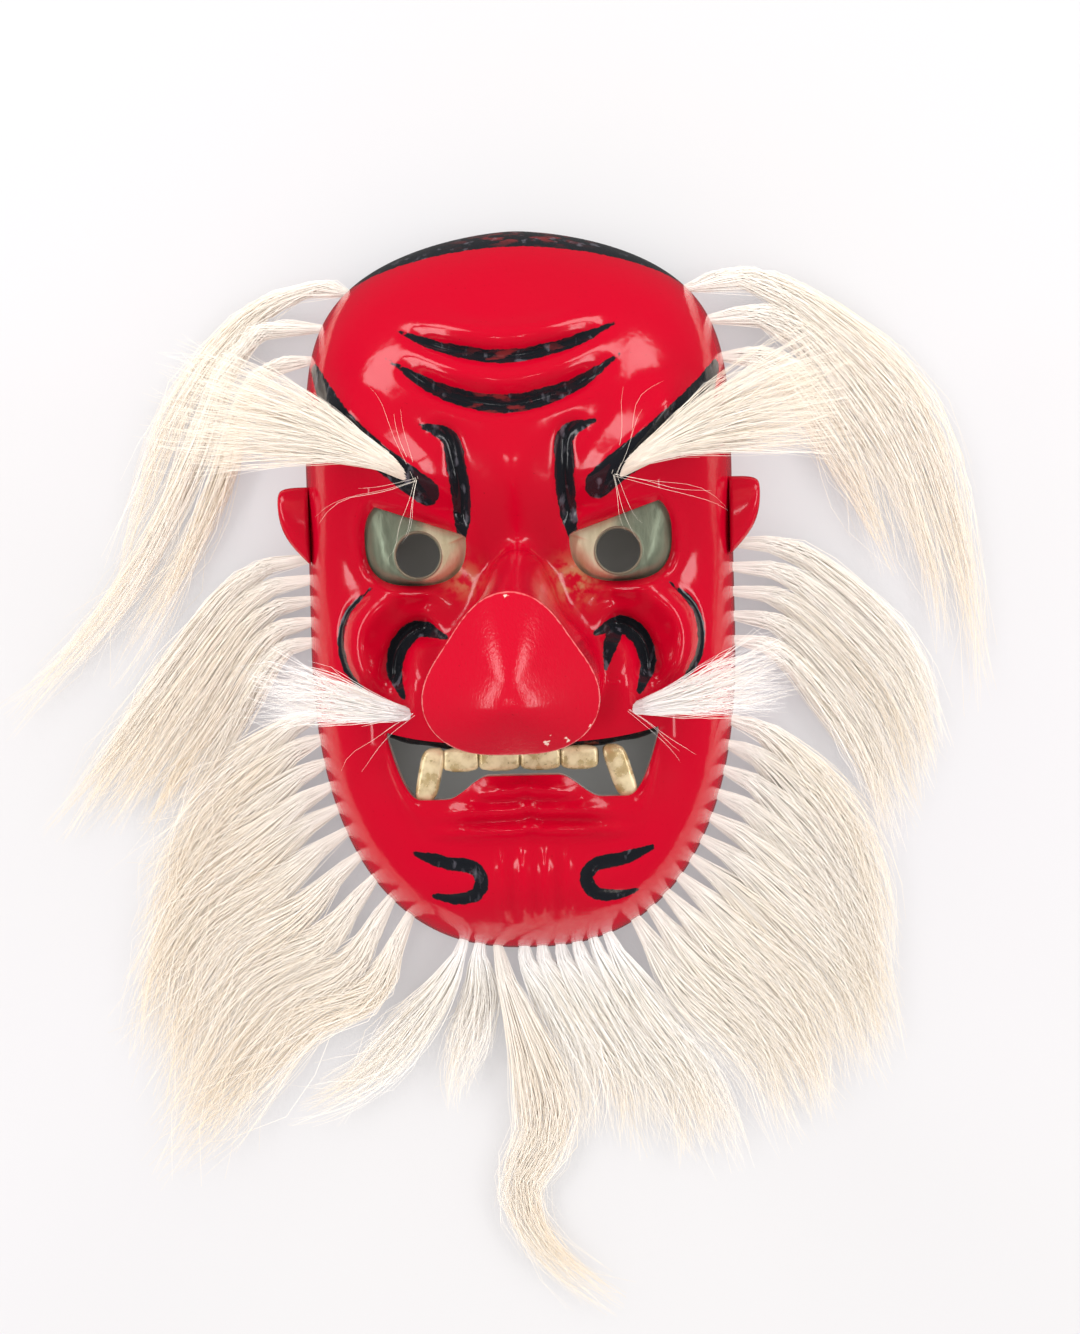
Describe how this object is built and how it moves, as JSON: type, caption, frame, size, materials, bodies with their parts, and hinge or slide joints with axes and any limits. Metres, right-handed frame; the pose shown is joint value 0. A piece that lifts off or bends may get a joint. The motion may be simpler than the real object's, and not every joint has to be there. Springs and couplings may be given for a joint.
{
  "type": "tengu mask",
  "caption": "Hollow red lacquered long-nosed demon mask with brass eyes, gold teeth and tufts of pale hair, lying on its back rim.",
  "frame": {"origin": "on the flat face of the back rim, in the middle of the wall under the chin", "axes": "+X to the right seen from the front, +Y from chin to crown, +Z the way the nose points, up as the mask lies"},
  "size_m": [0.3397, 0.3721, 0.178],
  "materials": {
    "red_lacquer": "glossy",
    "eye_brass": "satin",
    "tooth_gold": "satin",
    "pale_hair": "matte"
  },
  "bodies": {
    "root": {"mask_shell": "red_lacquer", "eye_plate_left": "eye_brass", "eye_plate_right": "eye_brass", "eyebrow_left": "pale_hair", "eyebrow_right": "pale_hair", "moustache_left": "pale_hair", "moustache_right": "pale_hair", "temple_left_1": "pale_hair", "temple_left_2": "pale_hair", "temple_left_3": "pale_hair", "temple_right_1": "pale_hair", "temple_right_2": "pale_hair", "temple_right_3": "pale_hair", "side_left_1": "pale_hair", "side_left_2": "pale_hair", "side_left_3": "pale_hair", "side_left_4": "pale_hair", "side_left_5": "pale_hair", "side_right_1": "pale_hair", "side_right_2": "pale_hair", "side_right_3": "pale_hair", "side_right_4": "pale_hair", "side_right_5": "pale_hair", "beard_left_1": "pale_hair", "beard_left_2": "pale_hair", "beard_left_3": "pale_hair", "beard_left_4": "pale_hair", "beard_left_5": "pale_hair", "beard_left_6": "pale_hair", "beard_left_7": "pale_hair", "beard_left_8": "pale_hair", "beard_left_9": "pale_hair", "beard_left_10": "pale_hair", "beard_right_1": "pale_hair", "beard_right_2": "pale_hair", "beard_right_3": "pale_hair", "beard_right_4": "pale_hair", "beard_right_5": "pale_hair", "beard_right_6": "pale_hair", "beard_right_7": "pale_hair", "beard_right_8": "pale_hair", "beard_right_9": "pale_hair", "beard_right_10": "pale_hair", "beard_right_11": "pale_hair", "chin_1": "pale_hair", "chin_2": "pale_hair", "chin_3": "pale_hair", "chin_4": "pale_hair", "chin_5": "pale_hair", "chin_6": "pale_hair", "chin_7": "pale_hair", "chin_8": "pale_hair", "chin_9": "pale_hair"}
  },
  "joints": []
}
